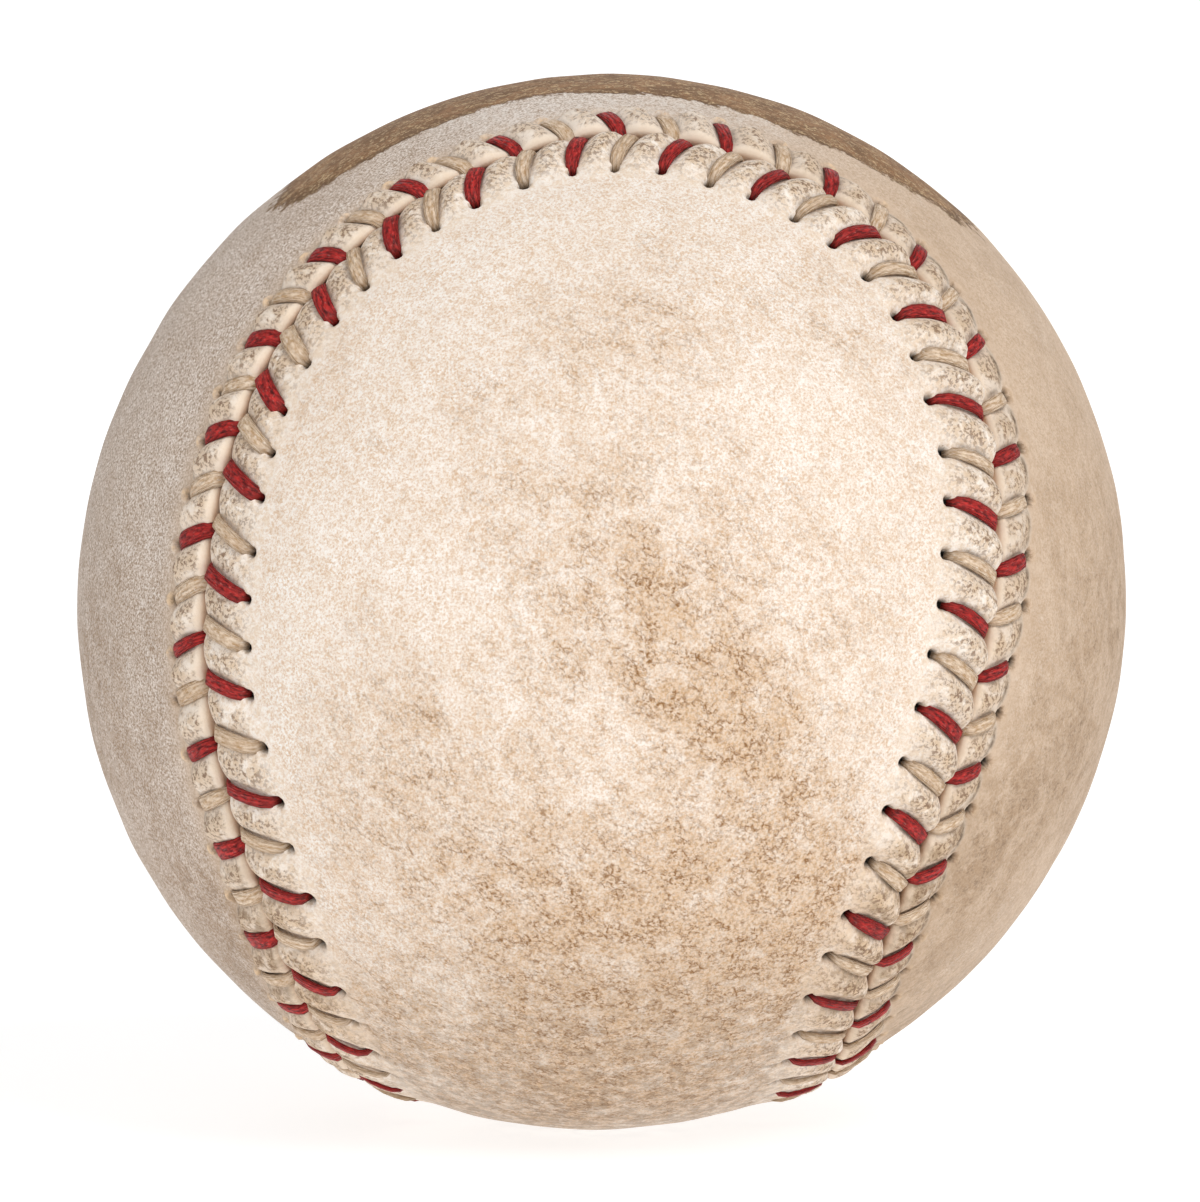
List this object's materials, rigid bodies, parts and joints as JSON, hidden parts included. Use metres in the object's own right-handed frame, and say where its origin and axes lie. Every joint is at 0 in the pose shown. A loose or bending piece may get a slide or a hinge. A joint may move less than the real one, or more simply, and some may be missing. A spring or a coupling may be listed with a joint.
{
  "type": "baseball",
  "caption": "Sewn leather ball with a cushioned cork centre, wool windings and two figure-eight panels joined by a raised seam of crossed red and natural thread.",
  "frame": {"origin": "centre of the ball", "axes": "+Z through the middle of the side panel's neck, -Y through a lobe of the front panel, +X through a lobe of the side panel"},
  "size_m": [0.0742, 0.0742, 0.0742],
  "materials": {
    "cork": "matte cork granules",
    "black_rubber": "moulded, matte",
    "red_rubber": "moulded, matte",
    "grey_wool": "wound wool yarn",
    "white_wool": "wound wool yarn",
    "cotton": "wound cotton thread",
    "leather": "aged cream leather, grained and handled",
    "red_thread": "waxed red thread",
    "natural_thread": "waxed undyed thread"
  },
  "bodies": {
    "root": {"cork_core": "cork", "black_shell_upper": "black_rubber", "black_shell_lower": "black_rubber", "gasket_ring": "red_rubber", "red_rubber_layer": "red_rubber", "inner_wool_winding": "grey_wool", "white_wool_winding": "white_wool", "grey_wool_winding": "grey_wool", "cotton_winding": "cotton", "cover_front": "leather", "cover_side": "leather", "red_thread": "red_thread", "natural_thread": "natural_thread"}
  },
  "joints": []
}
